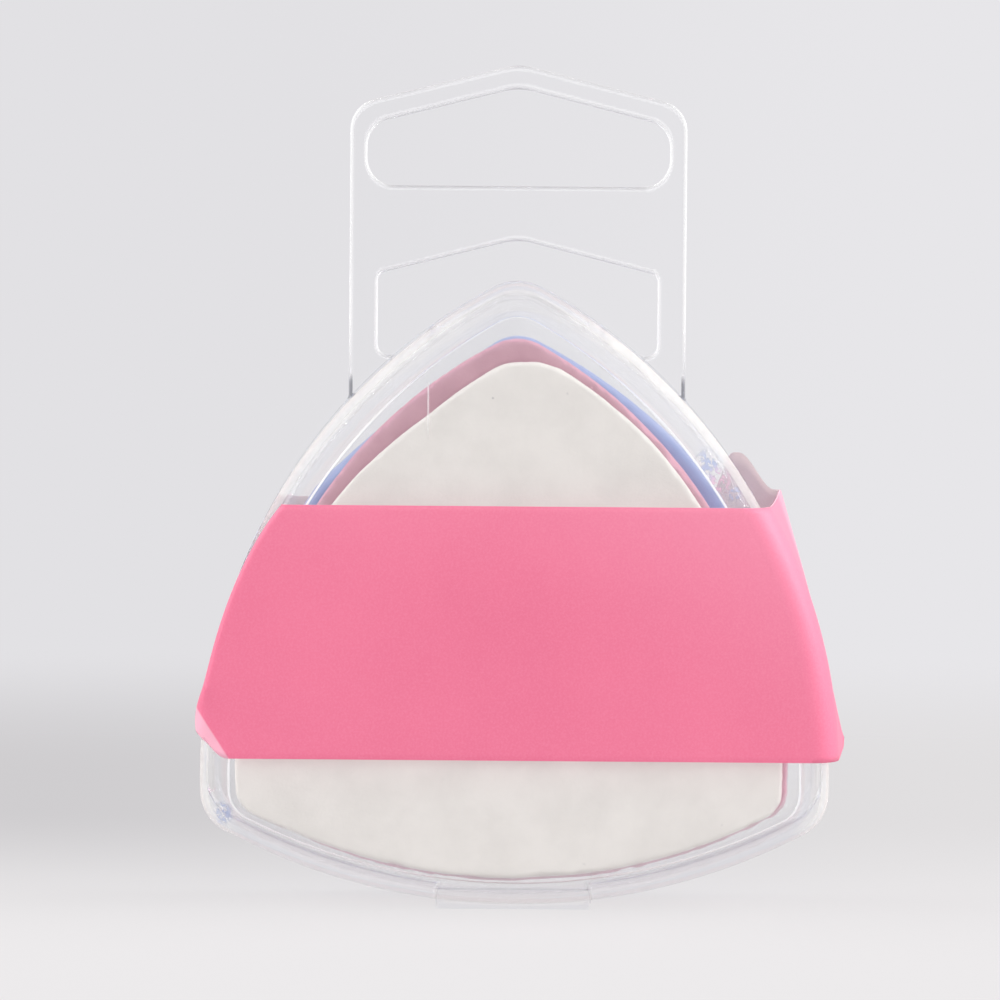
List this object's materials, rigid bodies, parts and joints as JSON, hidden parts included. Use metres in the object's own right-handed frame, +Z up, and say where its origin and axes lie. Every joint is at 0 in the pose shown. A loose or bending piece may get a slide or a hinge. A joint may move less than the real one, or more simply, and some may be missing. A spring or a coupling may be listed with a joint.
{
  "type": "tailor's chalk in a hanging case",
  "caption": "Triangular tailor's chalk tablets stacked in a clear snap case with bowed sides, a hang tab, a small foot and a loose wrap-round paper label.",
  "frame": {"origin": "middle of the flat foot's face, which rests on the surface", "axes": "+Z up through the apex and the hang tab, -Y out of the window, +X across the case"},
  "size_m": [0.0678, 0.0206, 0.0874],
  "materials": {
    "clear_plastic": "clear and glossy",
    "chalk_white": "matte pressed clay",
    "chalk_pink": "matte pressed clay",
    "chalk_blue": "matte pressed clay",
    "label_paper": "smooth, slightly satin"
  },
  "bodies": {
    "base": {"base_tray": "clear_plastic", "chalk_white": "chalk_white", "chalk_pink": "chalk_pink", "chalk_blue": "chalk_blue", "label_back": "label_paper"},
    "cover": {"lid": "clear_plastic", "label_front": "label_paper"}
  },
  "joints": [
    {"name": "lid_pull", "type": "slide", "parent": "base", "child": "cover", "axis": [0, -1, 0], "range_m": [0, 0.018]}
  ]
}
